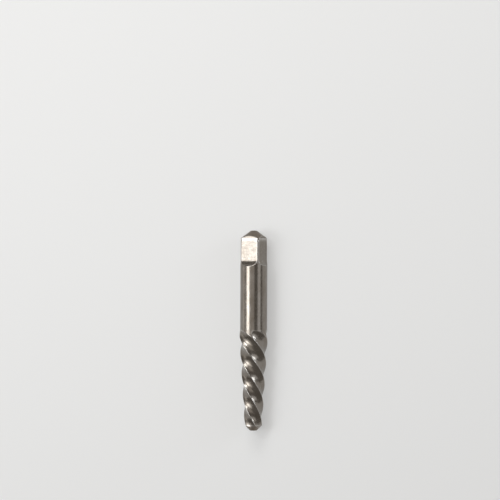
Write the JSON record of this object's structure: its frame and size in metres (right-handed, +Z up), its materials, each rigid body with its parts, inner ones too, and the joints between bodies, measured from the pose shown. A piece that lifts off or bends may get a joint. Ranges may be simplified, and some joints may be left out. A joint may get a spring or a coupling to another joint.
{
  "type": "screw extractor",
  "caption": "Spiral screw extractor: a square drive head, a plain round shank and a tapered end with coarse left-hand flutes.",
  "frame": {"origin": "on the surface the tool lies on, below the middle of its length and width", "axes": "+Y along the tool's axis towards the square head, +Z up from the surface, +X to the right as seen from above with the head away from the viewer"},
  "size_m": [0.0121, 0.0856, 0.0121],
  "materials": {
    "tool_steel": "satin, ground, darkened by hardening"
  },
  "bodies": {
    "root": {"screw_extractor": "tool_steel"}
  },
  "joints": []
}
